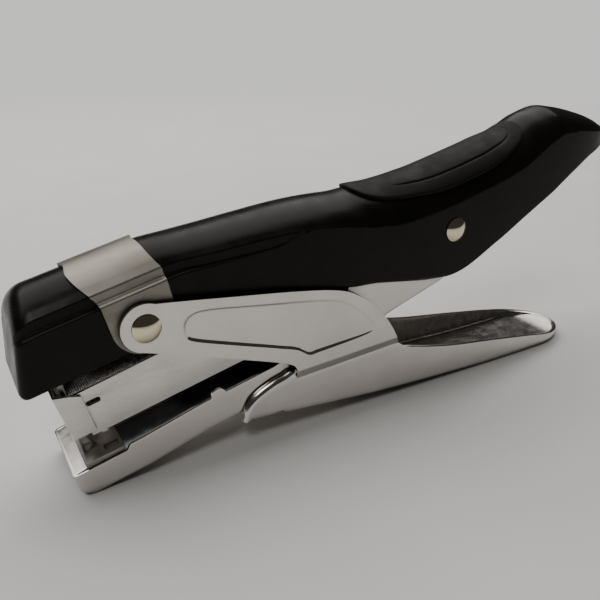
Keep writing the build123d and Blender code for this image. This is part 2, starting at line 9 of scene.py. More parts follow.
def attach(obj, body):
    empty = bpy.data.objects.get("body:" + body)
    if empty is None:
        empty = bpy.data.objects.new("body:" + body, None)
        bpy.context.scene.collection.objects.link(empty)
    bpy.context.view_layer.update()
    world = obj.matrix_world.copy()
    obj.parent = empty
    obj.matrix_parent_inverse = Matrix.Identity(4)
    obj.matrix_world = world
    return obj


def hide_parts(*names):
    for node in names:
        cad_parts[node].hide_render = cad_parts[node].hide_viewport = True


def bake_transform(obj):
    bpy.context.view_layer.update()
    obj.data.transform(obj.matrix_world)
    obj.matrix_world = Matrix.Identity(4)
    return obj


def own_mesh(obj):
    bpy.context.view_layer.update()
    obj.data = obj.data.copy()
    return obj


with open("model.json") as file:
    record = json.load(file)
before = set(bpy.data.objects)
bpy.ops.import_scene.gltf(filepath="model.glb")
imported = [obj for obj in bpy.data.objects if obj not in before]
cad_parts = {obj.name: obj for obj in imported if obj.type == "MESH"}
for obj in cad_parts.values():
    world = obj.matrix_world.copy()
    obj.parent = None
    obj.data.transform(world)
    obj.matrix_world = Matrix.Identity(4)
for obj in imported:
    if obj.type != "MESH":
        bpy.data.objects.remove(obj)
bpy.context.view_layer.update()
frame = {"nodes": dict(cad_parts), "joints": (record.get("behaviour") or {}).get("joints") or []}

# Everything is drawn in millimetres in the head frame: the origin is the front pivot, +X runs from
# nose to tail along the head, +Z is up out of the head, Y = 0 is the mid plane and the camera is on
# the -Y side. The joints of the CAD frame say where the head frame is on the table.
JOINTS = {joint["name"]: joint for joint in frame["joints"]}
PIVOT = Vector(JOINTS["handle_pivot"]["pos_m"])
ALONG = Vector(JOINTS["pusher_slide"]["axis"]).normalized()
UP = Vector((-ALONG.z, 0, ALONG.x))
MM = 0.001
HEAD = Matrix([[ALONG.x * MM, 0, UP.x * MM, PIVOT.x], [0, MM, 0, 0],
               [ALONG.z * MM, 0, UP.z * MM, PIVOT.z], [0, 0, 0, 1]])
REAR = HEAD.inverted() @ Vector(JOINTS["jaw_pivot"]["pos_m"])

# ---- mesh helpers -------------------------------------------------------------------------------


def quads(grid, inside):
    """Vertices and quads of an (n, m, 3) grid; the faces look away from the point inside."""
    n, m, _ = grid.shape
    index = np.arange(n * m).reshape(n, m)
    faces = np.stack([index[:-1, :-1], index[1:, :-1], index[1:, 1:], index[:-1, 1:]], -1).reshape(-1, 4)
    verts = grid.reshape(-1, 3)
    a, b, c, d = (verts[faces[:, k]] for k in range(4))
    normals = np.cross(c - a, d - b)
    if np.einsum("ij,ij->i", normals, (a + c) / 2 - np.array(inside)).sum() < 0:
        faces = faces[:, ::-1]
    return verts, faces


def build(name, *sheets, gap=None):
    """One object from (grid, inside) sheets in head-frame millimetres, welded where they meet; faces
    whose middle gap() says yes to are left out."""
    verts, faces, count = [], [], 0
    for grid, inside in sheets:
        v, f = quads(np.array(grid, float), inside)
        if gap:
            f = f[~gap(v[f].mean(axis=1))]
        verts.append(v)
        faces.append(f + count)
        count += len(v)
    mesh = bpy.data.meshes.new(name)
    mesh.from_pydata(np.concatenate(verts).tolist(), [], np.concatenate(faces).tolist())
    bm = bmesh.new()
    bm.from_mesh(mesh)
    bmesh.ops.remove_doubles(bm, verts=bm.verts, dist=2e-3)
    bmesh.ops.dissolve_degenerate(bm, edges=bm.edges, dist=1e-4)
    bm.to_mesh(mesh)
    bm.free()
    mesh.transform(HEAD)
    obj = bpy.data.objects.new(name, mesh)
    bpy.context.scene.collection.objects.link(obj)
    return obj


def bake(obj, angle=38):
    """Applies the modifiers and shades the result smooth, with edges sharper than angle kept crisp."""
    bpy.context.view_layer.update()
    graph = bpy.context.evaluated_depsgraph_get()
    obj.data = bpy.data.meshes.new_from_object(obj.evaluated_get(graph))
    obj.modifiers.clear()
    obj.data.shade_smooth()
    obj.data.set_sharp_from_angle(angle=radians(angle))
    return obj


def sheet_metal(obj, gauge, edge=0.15):
    """Gives a surface the thickness of its sheet, inwards, and breaks the cut edges."""
    solid = obj.modifiers.new("gauge", "SOLIDIFY")
    solid.thickness, solid.offset, solid.use_even_offset = gauge * MM, -1, False
    return broken_edges(obj, edge)


def broken_edges(obj, width, segments=3, limit=50):
    bevel = obj.modifiers.new("edges", "BEVEL")
    bevel.width, bevel.segments, bevel.angle_limit = width * MM, segments, radians(limit)
    bevel.use_clamp_overlap = True
    return bake(obj)


def from_cad(node, edge, split=False):
    """A welded copy of a CAD node with its edges broken; split cuts its hollow faces into triangles."""
    mesh = frame["nodes"][node].data.copy()
    mesh.materials.clear()
    if mesh.has_custom_normals:
        mesh.normals_split_custom_set([(0, 0, 0)] * len(mesh.loops))
    bm = bmesh.new()
    bm.from_mesh(mesh)
    bmesh.ops.remove_doubles(bm, verts=bm.verts, dist=2e-6)
    bmesh.ops.dissolve_limit(bm, angle_limit=radians(0.6), verts=bm.verts, edges=bm.edges)
    if split:
        bmesh.ops.triangulate(bm, faces=bm.faces)
    bm.to_mesh(mesh)
    bm.free()
    obj = bpy.data.objects.new(f"{node}_look", mesh)
    bpy.context.scene.collection.objects.link(obj)
    return broken_edges(obj, edge)


def monotone(table, first=None):
    """Smooth curve through (x, value) rows that never overshoots them."""
    xs, ys = np.array(table, float).T
    secant = np.diff(ys) / np.diff(xs)
    slope = np.zeros(len(xs))
    slope[0], slope[-1] = secant[0] if first is None else first, secant[-1]
    for i in range(1, len(xs) - 1):
        a, b = secant[i - 1], secant[i]
        slope[i] = 2 * a * b / (a + b) if a * b > 0 else 0

    def at(x):
        x = np.clip(x, xs[0], xs[-1])
        i = np.clip(np.searchsorted(xs, x, side="right") - 1, 0, len(xs) - 2)
        span = xs[i + 1] - xs[i]
        t = (x - xs[i]) / span
        return ((1 + 2 * t) * (1 - t)**2 * ys[i] + t * (1 - t)**2 * span * slope[i]
                + t * t * (3 - 2 * t) * ys[i + 1] + t * t * (t - 1) * span * slope[i + 1])
    return at


def smooth_path(points, count, tension=0.5):
    """Catmull-Rom curve through the points, sampled at even length."""
    p = np.array(points, float)
    p = np.vstack([2 * p[0] - p[1], p, 2 * p[-1] - p[-2]])
    out = []
    for i in range(1, len(p) - 2):
        gap = [max(np.linalg.norm(p[i + k] - p[i + k - 1]), 1e-9)**tension for k in (0, 1, 2)]
        middle = (p[i + 1] - p[i]) / gap[1]
        m1 = (p[i] - p[i - 1]) / gap[0] - (p[i + 1] - p[i - 1]) / (gap[0] + gap[1]) + middle
        m2 = middle - (p[i + 2] - p[i]) / (gap[1] + gap[2]) + (p[i + 2] - p[i + 1]) / gap[2]
        for t in np.linspace(0, 1, 40, endpoint=False):
            out.append((2 * t**3 - 3 * t**2 + 1) * p[i] + (t**3 - 2 * t**2 + t) * gap[1] * m1
                       + (-2 * t**3 + 3 * t**2) * p[i + 1] + (t**3 - t**2) * gap[1] * m2)
    out.append(p[-2])
    return even(np.array(out), count)


def even(path, count):
    """A path sampled again at even length."""
    path = np.array(path, float)
    length = np.concatenate([[0], np.cumsum(np.linalg.norm(np.diff(path, axis=0), axis=1))])
    at = np.linspace(0, length[-1], count)
    return np.stack([np.interp(at, length, path[:, k]) for k in range(path.shape[1])], -1)


def fillet(points, radii, steps=6, rest=(0.04, 0.5, 0.96)):
    """Polyline with rounded inner corners. Every corner and every straight gives a fixed number of points."""
    points = [np.array(p, float) for p in points]
    runs = [[points[0]]]
    for before, corner, after, radius in zip(points, points[1:], points[2:], radii):
        a, b = before - corner, after - corner
        la, lb = np.linalg.norm(a), np.linalg.norm(b)
        if min(la, lb) < 1e-6 or radius <= 0:
            runs.append([corner] * (steps + 1))
            continue
        a, b = a / la, b / lb
        half = acos(float(np.clip(a @ b, -1, 1))) / 2
        if half > pi / 2 - 1e-3:
            runs.append([corner] * (steps + 1))
            continue
        reach = min(radius / tan(half), 0.45 * la, 0.45 * lb)
        radius = reach * tan(half)
        centre = corner + (a + b) / np.linalg.norm(a + b) * radius / sin(half)
        p, q = corner + a * reach - centre, corner + b * reach - centre
        turn = pi - 2 * half
        runs.append([centre + (sin((1 - k / steps) * turn) * p + sin(k / steps * turn) * q) / sin(turn)
                     for k in range(steps + 1)])
    runs.append([points[-1]])
    out = list(runs[0])
    for run in runs[1:]:
        out += [out[-1] + (run[0] - out[-1]) * t for t in rest] if rest else []
        out += run
    return np.array(out)


def ease(t):
    t = np.clip(t, 0, 1)
    return t * t * (3 - 2 * t)


def tube(path, radius, sides=12, closed_ends=True):
    """Round wire along a path of head-frame points, as a grid."""
    path = np.array(path, float)
    step = np.gradient(path, axis=0)
    step /= np.linalg.norm(step, axis=1)[:, None]
    side = np.cross(step[0], (0.3, 0.9, 0.2))
    rings = []
    for point, way in zip(path, step):
        side = side - way * (side @ way)
        side /= np.linalg.norm(side)
        other = np.cross(way, side)
        angle = np.linspace(0, 2 * pi, sides + 1)[:, None]
        rings.append(point + radius * (np.cos(angle) * side + np.sin(angle) * other))
    if closed_ends:
        rings = [np.repeat(path[:1], sides + 1, 0)] + rings + [np.repeat(path[-1:], sides + 1, 0)]
    return np.array(rings)


def lathe(profile, x, z, side, sides=64):
    """(radius, height) profile turned about the line along Y through (x, z); height is outwards."""
    turn = np.linspace(0, 2 * pi, sides + 1)
    return np.array([[(x + r * cos(a), side * h, z + r * sin(a)) for a in turn] for r, h in profile])


def dress(obj, body, material, slot, *nodes):
    """Finish and body of a piece, and the CAD nodes that it stands for; the slot name is not used.
    A piece that bends between two bodies is given no body here."""
    obj.data.materials.clear()
    obj.data.materials.append(material)
    if body:
        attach(obj, body)
    if nodes:
        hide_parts(*nodes)
    return obj


# ---- finishes -----------------------------------------------------------------------------------


class Finish:
    """A Principled material whose colour, roughness and relief all come from noise in object space."""

    def __init__(self, name, **values):
        self.material = bpy.data.materials.new(name)
        self.material.use_nodes = True
        self.tree = self.material.node_tree
        self.shader = self.tree.nodes["Principled BSDF"]
        for key, value in values.items():
            self.shader.inputs[key.replace("_", " ")].default_value = value
        self.place = self.node("ShaderNodeTexCoord").outputs["Object"]
        self.relief = None

    def node(self, kind, **inputs):
        made = self.tree.nodes.new(kind)
        for key, value in inputs.items():
            socket = made.inputs[key.replace("_", " ")]
            if hasattr(value, "is_output"):
                self.tree.links.new(value, socket)
            else:
                socket.default_value = value
        return made

    def noise(self, scale, detail=4.0, stretch=(1, 1, 1), rough=0.55):
        """Noise with its feature size in millimetres; stretch draws it out along an axis."""
        mapping = self.node("ShaderNodeMapping", Vector=self.place,
                            Scale=[1000 / (scale * s) for s in stretch])
        return self.node("ShaderNodeTexNoise", Vector=mapping.outputs[0], Scale=1.0, Detail=detail,
                         Roughness=rough).outputs[0]

    def spread(self, value, low, high, start=0.35, end=0.65):
        """Maps a noise value to the range from low to high."""
        return self.node("ShaderNodeMapRange", Value=value, From_Min=start, From_Max=end, To_Min=low,
                         To_Max=high).outputs[0]

    def plug(self, socket, value):
        """Links a node's output to a socket, or sets the socket to a plain value or colour."""
        if hasattr(value, "is_output"):
            self.tree.links.new(value, socket)
        else:
            socket.default_value = (*value, 1) if isinstance(value, tuple) else value

    def tinted(self, factor, one, two):
        """Colour that goes from one to two as factor goes from 0 to 1."""
        mix = self.tree.nodes.new("ShaderNodeMix")
        mix.data_type = "RGBA"
        for socket, value in (("Factor", factor), ("A", one), ("B", two)):
            self.plug(mix.inputs[socket], value)
        return mix.outputs["Result"]

    def maths(self, operation, *values):
        made = self.tree.nodes.new("ShaderNodeMath")
        made.operation = operation
        for socket, value in zip(made.inputs, values):
            self.plug(socket, value)
        return made.outputs[0]

    def colours(self, value, one, two, start=0.35, end=0.65):
        self.colour = self.tinted(self.spread(value, 0, 1, start, end), one, two)
        self.plug(self.shader.inputs["Base Color"], self.colour)
        return self

    def roughness(self, value, low, high, start=0.35, end=0.65):
        self.tree.links.new(self.spread(value, low, high, start, end), self.shader.inputs["Roughness"])
        return self

    def bump(self, value, depth, strength=1.0):
        """Relief of the given depth in millimetres."""
        bump = self.node("ShaderNodeBump", Height=value, Distance=depth * MM, Strength=strength)
        if self.relief is not None:
            self.tree.links.new(self.relief, bump.inputs["Normal"])
        self.relief = bump.outputs[0]
        self.tree.links.new(self.relief, self.shader.inputs["Normal"])
        return self


def metal(name, light, dark, low, high, grain=(1, 1, 1), relief=0.004, painted_shade_half_width=None, **extra):
    """Metal with painted shade in its seams, and optionally a channel (half width in mm) painted dark inside
    as shade.
    """
    f = Finish(name, Metallic=1.0, **extra)
    f.colours(f.noise(9, 5), light, dark)
    # painted shade: ambient occlusion darkens the colour in seams and between parts
    painted_seam_shade = f.node("ShaderNodeAmbientOcclusion", Distance=3.5 * MM).outputs["AO"]
    colour = f.tinted(f.spread(painted_seam_shade, 1, 0, 0.35, 0.85), f.colour, tuple(0.3 * c for c in dark))
    # painted shade: the inside of the channel, behind its lip and not facing down, is painted dark
    if painted_shade_half_width:
        place = f.node("ShaderNodeSeparateXYZ", Vector=f.place).outputs
        normal = f.node("ShaderNodeNewGeometry").outputs["True Normal"]
        facing = f.node("ShaderNodeSeparateXYZ", Vector=normal)
        inner = f.spread(f.maths("ABSOLUTE", place["Y"]), 1, 0, (painted_shade_half_width - 0.1) * MM, (painted_shade_half_width + 0.1) * MM)
        upward = f.spread(facing.outputs["Z"], 0, 1, -0.3, -0.1)
        behind_lip = f.spread(place["X"], 0, 1, -0.0755, -0.0745)
        painted_channel_shade = f.maths("MULTIPLY", f.maths("MULTIPLY", inner, upward), behind_lip)
        colour = f.tinted(painted_channel_shade, colour, (0.10, 0.108, 0.118))
    f.plug(f.shader.inputs["Base Color"], colour)
    f.roughness(f.noise(2.5, 6, grain), low, high)
    f.bump(f.noise(0.22, 3, grain), relief)
    f.bump(f.noise(30, 2), relief * 6, 0.5)
    return f.material


def moulded(name, light, dark, low, high, grain_size, relief, **extra):
    f = Finish(name, **extra)
    f.colours(f.noise(14, 5), light, dark)
    f.roughness(f.noise(5, 6), low, high)
    f.bump(f.noise(grain_size, 2), relief)
    f.bump(f.noise(25, 2), 0.05, 0.4)
    return f.material


BLACK = moulded("black plastic", (0.0075, 0.0060, 0.0052), (0.0052, 0.0043, 0.0038), 0.24, 0.36, 0.16, 0.003,
                Specular_IOR_Level=0.14)
RUBBER = moulded("grip rubber", (0.0062, 0.0056, 0.0048), (0.0044, 0.0040, 0.0035), 0.52, 0.68, 0.22, 0.02,
                 Specular_IOR_Level=0.20, Sheen_Weight=0.01, Sheen_Roughness=0.4)
NYLON = moulded("black nylon", (0.022, 0.021, 0.020), (0.015, 0.015, 0.014), 0.38, 0.5, 0.3, 0.01)
CHROME = metal("chromed steel", (0.70, 0.665, 0.63), (0.65, 0.615, 0.58), 0.13, 0.22, relief=0.0012)
# the inside of this channel is painted dark as shade
CHANNEL = metal("chromed channel", (0.70, 0.665, 0.63), (0.65, 0.615, 0.58), 0.13, 0.22, relief=0.0012,
                painted_shade_half_width=8.75)
NICKEL = metal("satin nickel", (0.29, 0.27, 0.24), (0.25, 0.232, 0.205), 0.40, 0.52, (9, 1, 1), 0.006)
PLATED = metal("plated steel", (0.70, 0.68, 0.65), (0.64, 0.62, 0.585), 0.20, 0.32, (6, 1, 1), 0.003)
# the warm tint of the chrome rivets is a painted reflection
RIVET = metal("chrome rivet", (0.80, 0.71, 0.52), (0.72, 0.63, 0.45), 0.06, 0.13, relief=0.001)
DULL = metal("dull steel", (0.40, 0.38, 0.345), (0.30, 0.285, 0.26), 0.38, 0.55, (1, 4, 1), 0.02)
SPRING = metal("spring steel", (0.42, 0.41, 0.39), (0.33, 0.32, 0.30), 0.24, 0.36, relief=0.003)
WIRE = metal("staple wire", (0.66, 0.65, 0.63), (0.58, 0.57, 0.55), 0.24, 0.34, relief=0.002)

# ---- casing -------------------------------------------------------------------------------------
HALF, CAP, LOW, TOP = 10.3, 9.0, -5.3, 14.15
CROWN = HALF + 1.6            # crown radius of the head
CASING = [(4, HALF, LOW, TOP, 1.6), (7.5, HALF, LOW, 13.88, 2.1), (14, HALF, LOW, 12.95, 3.2),
          (22, HALF, -5.4, 11.9, 4.0), (31, 10.5, -7.4, 10.85, 4.4), (41, 10.8, -10.9, 9.6, 4.0),
          (46, 10.9, -12.7, 8.8, 3.2), (52, 11.0, -14.9, 7.55, 2.2), (57, 11.07, -16.7, 6.4, 1.4),
          (62, 11.1, -18.6, 5.7, 0.8), (68, 11.1, -21.0, 4.5, 0.5), (74, 11.1, -23.2, 3.85, 0.5),
          (84, 11.1, -25.0, 3.35, 0.5), (98, 11.1, -22.0, 3.5, 0.5), (110, 10.9, -18.6, 4.05, 0.6),
          (115, 10.7, -17.3, 5.0, 0.7), (121, 10.4, -15.8, 6.35, 0.8), (126, 10.0, -14.3, 6.6, 0.9),
          (131, 9.5, -12.9, 5.0, 1.0), (140, 8.0, -11.2, 0.7, 1.0), (147, 5.6, -11.0, -3.6, 1.0),
          (150.8, 2.6, -10.6, -7.0, 0.8)]
LEDGE_END = 42.0              # where the two edges of the ledge run together
FORM = [monotone([(row[0], row[k]) for row in CASING], first=0) for k in (1, 2, 3, 4)]
LEDGE_IN = monotone([(-40, CAP), (10, CAP), (19, 9.5), (29, 10.0), (35, 10.3), (39, 10.5),
                     (LEDGE_END, 10.82)])
LEDGE_Z = monotone([(-40, 7.7), (10, 7.7), (19, 6.3), (29, 4.8), (35, 4.1), (39, 4.75), (LEDGE_END, 5.7)])
NOSE_Z, NOSE_X = (10.6, -3.4), (-23.2, -27.6)    # the flat of the nose, from its top to its bottom


def form(x):
    return [float(column(x)) for column in FORM]


def crown_height(y, top, radius):
    return top - radius + (radius**2 - y**2)**0.5


def under_radius(x):
    """Rounding of the lower edges: more of it where the lower handle closes over them."""
    return 0.9 + 1.3 * float(np.clip(min((x - 52) / 6, (80 - x) / 8), 0, 1))


def lip_height(x, inner):
    """Height of the rounded underside of the casing at the half width inner."""
    (half, low), round_r = form(x)[:2], under_radius(x)
    return low + round_r - (round_r**2 - max(inner - half + round_r, 0)**2)**0.5


def casing_half(x, inner):
    """Near half of the outside of the casing at x, from its lower lip to the middle of the crown."""
    half, low, top, extra = form(x)
    radius = half + extra
    cap, shelf = (min(float(LEDGE_IN(x)), half), float(LEDGE_Z(x))) if x < LEDGE_END else (half, 99.0)
    ridge = crown_height(cap, top, radius)
    shelf = min(shelf, ridge)
    fall = shelf - 0.3 * (half - cap)
    room = half - cap
    turn = np.array([(y, crown_height(y, top, radius)) for y in np.linspace(cap - 1.2, 0, 22)])
    round_r = under_radius(x)
    over = max(inner - half + round_r, 0)
    sweep = np.linspace(float(np.arcsin(over / round_r)), pi / 2, 12)
    foot = np.stack([half - round_r * (1 - np.sin(sweep)), low + round_r * (1 - np.cos(sweep))], -1)
    flat = [(inner + (half - round_r + over - inner) * t, lip_height(x, inner)) for t in (0, 0.4, 0.8, 0.96)]
    points = [(half, low + round_r), (half, fall), (cap, shelf), (cap, ridge), turn[0]]
    line = fillet(points, [min(0.4, room), min(0.3, 0.4 * room), min(0.5, 2 * room + 0.01)])
    return np.vstack([flat, foot, line[1:], turn[1:]])


def hollow_half(inner, low, roof):
    """Near half of the hollow, from the lower lip to the middle of its roof."""
    return fillet([(inner, low), (inner, roof), (0, roof)], [1.2])


def both_halves(near):
    """A section (y, z) of the near half, made whole; y runs from negative to positive."""
    return np.vstack([near * (-1, 1), near[::-1][1:]])


def hollow_at(x):
    if x <= 99:
        return (float(np.interp(x, [-23.2, 30, 46], [8.55, 8.55, 9.6])),
                float(np.interp(x, [-23.2, 30, 46, 62, 99], [7.2, 7.2, 1.8, -0.6, -1.6])))
    return (float(np.interp(x, [99, 126, 136], [7.4, 6.4, 5.2])),
            float(np.interp(x, [99, 126, 136], [-0.4, 1.6, -3.4])))


def nose_x(z):
    """The flat of the nose leans back towards the top."""
    return NOSE_X[0] + (z - NOSE_Z[0]) * (NOSE_X[1] - NOSE_X[0]) / (NOSE_Z[1] - NOSE_Z[0])


def roundover(depth, radius):
    """How far a surface has fallen back at a depth behind the end of its rounded edge."""
    depth = min(max(depth, 0), radius)
    return radius - (radius**2 - (radius - depth)**2)**0.5


def casing():
    x_back, mid = CASING[0][0], 3.0
    reach = x_back - nose_x(mid)
    outer, inner = [], []

    def head_ring(depth, open_bottom, shrink=1.0):
        ring = both_halves(casing_half(x_back, 8.55 if open_bottom else 0.0))
        y, z = ring[:, 0], ring[:, 1]
        side, over, under = roundover(depth, 2.3), roundover(depth, 4.3), roundover(depth, 1.7)
        y = y * (HALF - side) / HALF * shrink
        z = np.where(z > mid, mid + (z - mid) * (TOP - mid - over) / (TOP - mid),
                     mid + (z - mid) * (mid - LOW - under) / (mid - LOW))
        z = mid + (z - mid) * shrink
        share = depth / reach
        outer.append(np.stack([nose_x(z) * (1 - share) + x_back * share, y, z], -1))
        return nose_x(LOW) * (1 - share) + x_back * share

    def wall_ring(x):
        inside, roof = hollow_at(x)
        half = both_halves(hollow_half(inside, lip_height(x, inside), roof))
        inner.append(np.column_stack([np.full(len(half), x), half]))

    for shrink in (0.02, 0.35, 0.7, 0.9):
        head_ring(0, False, shrink)
    for angle in np.linspace(0, 90, 12):
        head_ring(4.3 * (1 - cos(radians(angle))), False)
    lip_depth = reach * (-23.2 - nose_x(LOW)) / (x_back - nose_x(LOW))
    head_ring(lip_depth, False)
    for depth in np.linspace(lip_depth, reach, 18):
        x = head_ring(depth, True)
        if not inner:
            inside, roof = hollow_at(-23.2)
            flat = both_halves(hollow_half(inside, LOW, roof))
            for shrink in (0.02, 0.6):
                inner.append(np.column_stack([np.full(len(flat), -23.2), flat * (shrink, 1)]))
        wall_ring(x)
    stations = [(x, True) for x in np.arange(x_back + 1, 98.9, 1.0)] + [(99, True), (99.001, True)]
    stations += [(x, True) for x in np.arange(100, 135.9, 1.0)] + [(136, True), (136.001, False)]
    stations += [(x, False) for x in np.arange(137, 149.4, 0.8)]
    for x, is_open in stations:
        ring = both_halves(casing_half(x, hollow_at(x)[0] if is_open else 0.0))
        outer.append(np.column_stack([np.full(len(ring), x), ring]))
        if is_open:
            wall_ring(x)
    inner.append(inner[-1] * (1, 0.02, 1))
    end = CASING[-1][0]
    half, low, top, _ = form(end - 1.3)
    last = both_halves(casing_half(end - 1.3, 0.0))
    middle = (low + top) / 2
    for angle in np.linspace(0, 90, 8):
        fallen = 1.3 * (1 - cos(radians(angle)))
        y = last[:, 0] * (half - fallen) / half
        z = middle + (last[:, 1] - middle) * (top - middle - fallen) / (top - middle)
        outer.append(np.stack([np.full(len(y), end - 1.3 + 1.3 * sin(radians(angle))), y, z], -1))
    for shrink in (0.6, 0.02):
        ring = outer[-1]
        height = middle + (ring[:, 2] - middle) * shrink
        outer.append(np.column_stack([ring[:, 0], ring[:, 1] * shrink, height]))
    # the hollow's faces look into the hollow, so its reference point lies outside the casing
    obj = build("casing", (np.array(outer), (60, 0, -6)))
    hollow = build("casing_hollow", (np.array(inner), (60, 0, -6)))
    hollow.data.flip_normals()
    return bake(obj, 32), bake(hollow, 32)


def crown_point(x, s, grow):
    """Point of the casing at x, s millimetres from the middle of the crown, raised by grow."""
    half, _, top, extra = form(x)
    radius = half + extra
    edge = radius * np.arcsin(half / radius)
    side = -1 if s < 0 else 1
    s = abs(s)
    if s <= edge:
        a = s / radius
        return (x, side * (radius + grow) * sin(a), top - radius + (radius + grow) * cos(a))
    return (x, side * (half + grow), crown_height(half, top, radius) - (s - edge))


def skin(x):
    """How far the rubber stands above the casing: it runs out flush towards the tail."""
    return 0.9 - 0.65 * ease((x - 104) / 11.5)


def grip():
    """Rubber skin over the grip, with an engraved line inside its edge."""
    half = smooth_path([(60.0, 0), (60.1, -2.3), (61.7, -5.7), (64.0, -7.1), (67.8, -8.2), (74.1, -9.35),
                        (82.5, -10.55), (91.9, -10.9), (100.9, -10.55), (107.4, -9.3), (112.5, -7.6),
                        (114.5, -6.1), (115.8, -3.6), (116.2, 0)], 140)
    border = mirrored(half)
    centre = np.column_stack([np.clip(border[:, 0], 78, 107), np.zeros(len(border))])
    reach = np.linalg.norm(border - centre, axis=1)
    rings = []
    levels = [(0, -0.25), (0, 0.45), (0.1, 0.68), (0.28, 0.83), (0.6, 0.9), (1.2, 0.9)]
    groove = [(-0.9, 0), (-0.5, 0), (-0.28, -0.06), (-0.12, -0.26), (0, -0.32), (0.12, -0.26), (0.28, -0.06),
              (0.5, 0), (0.9, 0)]

    def ring(distance, height):
        share = 1 - distance / reach
        place = centre + (border - centre) * share[:, None]
        rings.append([crown_point(x, s, h * skin(x) / 0.9) for (x, s), h in zip(place, height)])

    for distance, height in levels:
        ring(np.full(len(reach), distance), np.full(len(reach), height))
    line = 0.4 * reach
    depth = ease((border[:, 0] - 64) / 8)
    for share in (0.3, 0.6):
        ring(1.2 + (line - 2.1) * share, np.full(len(reach), 0.9))
    for offset, height in groove:
        ring(line + offset, 0.9 + height * depth)
    for share in np.linspace(0.1, 1, 9):
        ring((line + 0.9) + (reach - line - 0.9) * share, np.full(len(reach), 0.9))
    return bake(build("grip_skin", (np.array(rings), (85, 0, -8))), 60)


# ---- saddle and rivets --------------------------------------------------------------------------
SKIN = 0.8                    # outside of the saddle from the head
EAR = (0.35, 0.8, 7.2)        # centre and radius of the round ears


def saddle():
    """Sheet band over the head, pressed to its ledges, with a round ear on each side."""
    cap, side, radius = CAP + SKIN, HALF + SKIN, CROWN + SKIN
    top, shelf = TOP + SKIN, 7.7 + SKIN * 0.7
    ridge = crown_height(cap, top, radius)
    turn = np.array([(y, crown_height(y, top, radius)) for y in np.linspace(cap - 1.6, 0, 24)])
    lowest = EAR[1] - EAR[2]
    points = [(side, lowest), (side, shelf - 0.3 * (side - cap)), (cap, shelf), (cap, ridge), turn[0]]
    near = np.vstack([fillet(points, [0.6, 0.45, 0.8], 8), turn[1:]])
    flank = np.array([(side, z) for z in lowest + EAR[2] * (1 - np.cos(np.linspace(0, pi / 2, 26)))])
    near = np.vstack([flank, near[near[:, 1] > flank[-1, 1] + 0.2]])
    across = both_halves(near)
    front_low = monotone([(-7, -7.6), (0.8, -6.85), (7.2, -6.9), (8.3, -7.1), (ridge, -7.9)])
    back_low = monotone([(-7, 7.5), (0.8, 7.55), (7.6, 7.7), (ridge, 7.75)])
    front_over = smooth_path([(0, -9.45), (1.6, -9.7), (3.8, -10.1), (6.2, -9.75), (8.3, -8.9),
                              (9.8, -7.9)], 80)
    back_over = smooth_path([(0, 5.8), (3.9, 6.2), (6.8, 6.6), (8.6, 7.15), (9.8, 7.75)], 80)
    share = (1 - np.cos(np.linspace(0, pi, 25))) / 2
    grid = []
    for y, z in across:
        if z > ridge - 0.4 and abs(y) < cap + 0.01:
            low_x, high_x = (float(np.interp(abs(y), edge[:, 0], edge[:, 1]))
                             for edge in (front_over, back_over))
        else:
            low_x, high_x = float(front_low(z)), float(back_low(z))
        if z < EAR[1]:
            reach = max(EAR[2]**2 - (z - EAR[1])**2, 1e-4)**0.5
            low_x, high_x = EAR[0] - reach, EAR[0] + reach
        grid.append([(low_x + (high_x - low_x) * t, y, z) for t in share])
    return sheet_metal(build("saddle_band", (np.array(grid), (0, 0, 3))), SKIN - 0.05, 0.14)


def rivet_heads(name, x, z, seat, shaft_node):
    """Domed heads on both sides of a pivot."""
    dome_r, height, rim = 3.2, 1.3, 0.22
    rise = height - rim
    ball = (dome_r**2 + rise**2) / (2 * rise)
    profile = [(dome_r - 0.12, seat), (dome_r, seat + 0.1)]
    for angle in np.linspace(np.arcsin(dome_r / ball), 0.002, 16):
        profile.append((ball * sin(angle), seat + rim + rise - ball + ball * cos(angle)))
    sheets = [(lathe(profile, x, z, side), (x, side * (seat - 2), z)) for side in (-1, 1)]
    obj = bake(build(name, *sheets), 50)
    return dress(obj, "upper_handle", RIVET, "chrome_rivet", shaft_node)


# ---- lower handle -------------------------------------------------------------------------------
FRONT_R = 5.55                # radius of the round front end of each side plate
OUT, IN, GAUGE = 12.5, 11.2, 1.2
TOP_EDGE = [(3.1, 4.5), (8, 2.75), (20.4, -1.9), (35.9, -7.8), (44.4, -11.5), (48.5, -13.9), (52.2, -17.4),
            (55.3, -21.1), (57.9, -26.1), (59.5, -30.3), (60.3, -33.4)]
LOW_EDGE = [(-2.95, -4.64), (0.8, -6.9), (15.1, -16), (24.7, -22.2), (28.6, -24.9), (30.2, -26.6),
            (30.6, -28.3)]
RECESS = [(7.4, -5.0), (7.7, -3.4), (8.8, -2.1), (10.5, -1.6), (13.0, -2.0), (25.4, -6.7), (42.3, -13.4),
          (46.5, -15.8), (50.0, -19.5), (52.6, -23.4), (54.0, -26.6), (53.7, -27.5), (52.2, -27.7),
          (36.4, -25.5), (35.3, -25.4), (34.4, -24.9), (32.0, -22.3), (27.2, -19.2), (8.6, -7.4), (7.7, -6.5)]
FLOOR = monotone([(14, -35.8), (34, -42.6), (53.4, -48.9), (75, -55.2), (97, -61.2), (114, -65.09),
                  (121, -66.4), (128.2, -66.95)])
RIM = monotone([(61.2, -36.2), (63.2, -38.5), (66.5, -40.5), (78, -46.2), (93, -52.2), (108, -58.3),
                (121, -63.7), (128.2, -65.9)])
FRONT_EDGE = [(14.9, -36.1), (16.7, -33.8), (18.4, -32.2), (20.4, -31.3), (24.8, -30.4), (28.0, -30.2),
              (30.5, -29.4), (30.9, -28.6)]


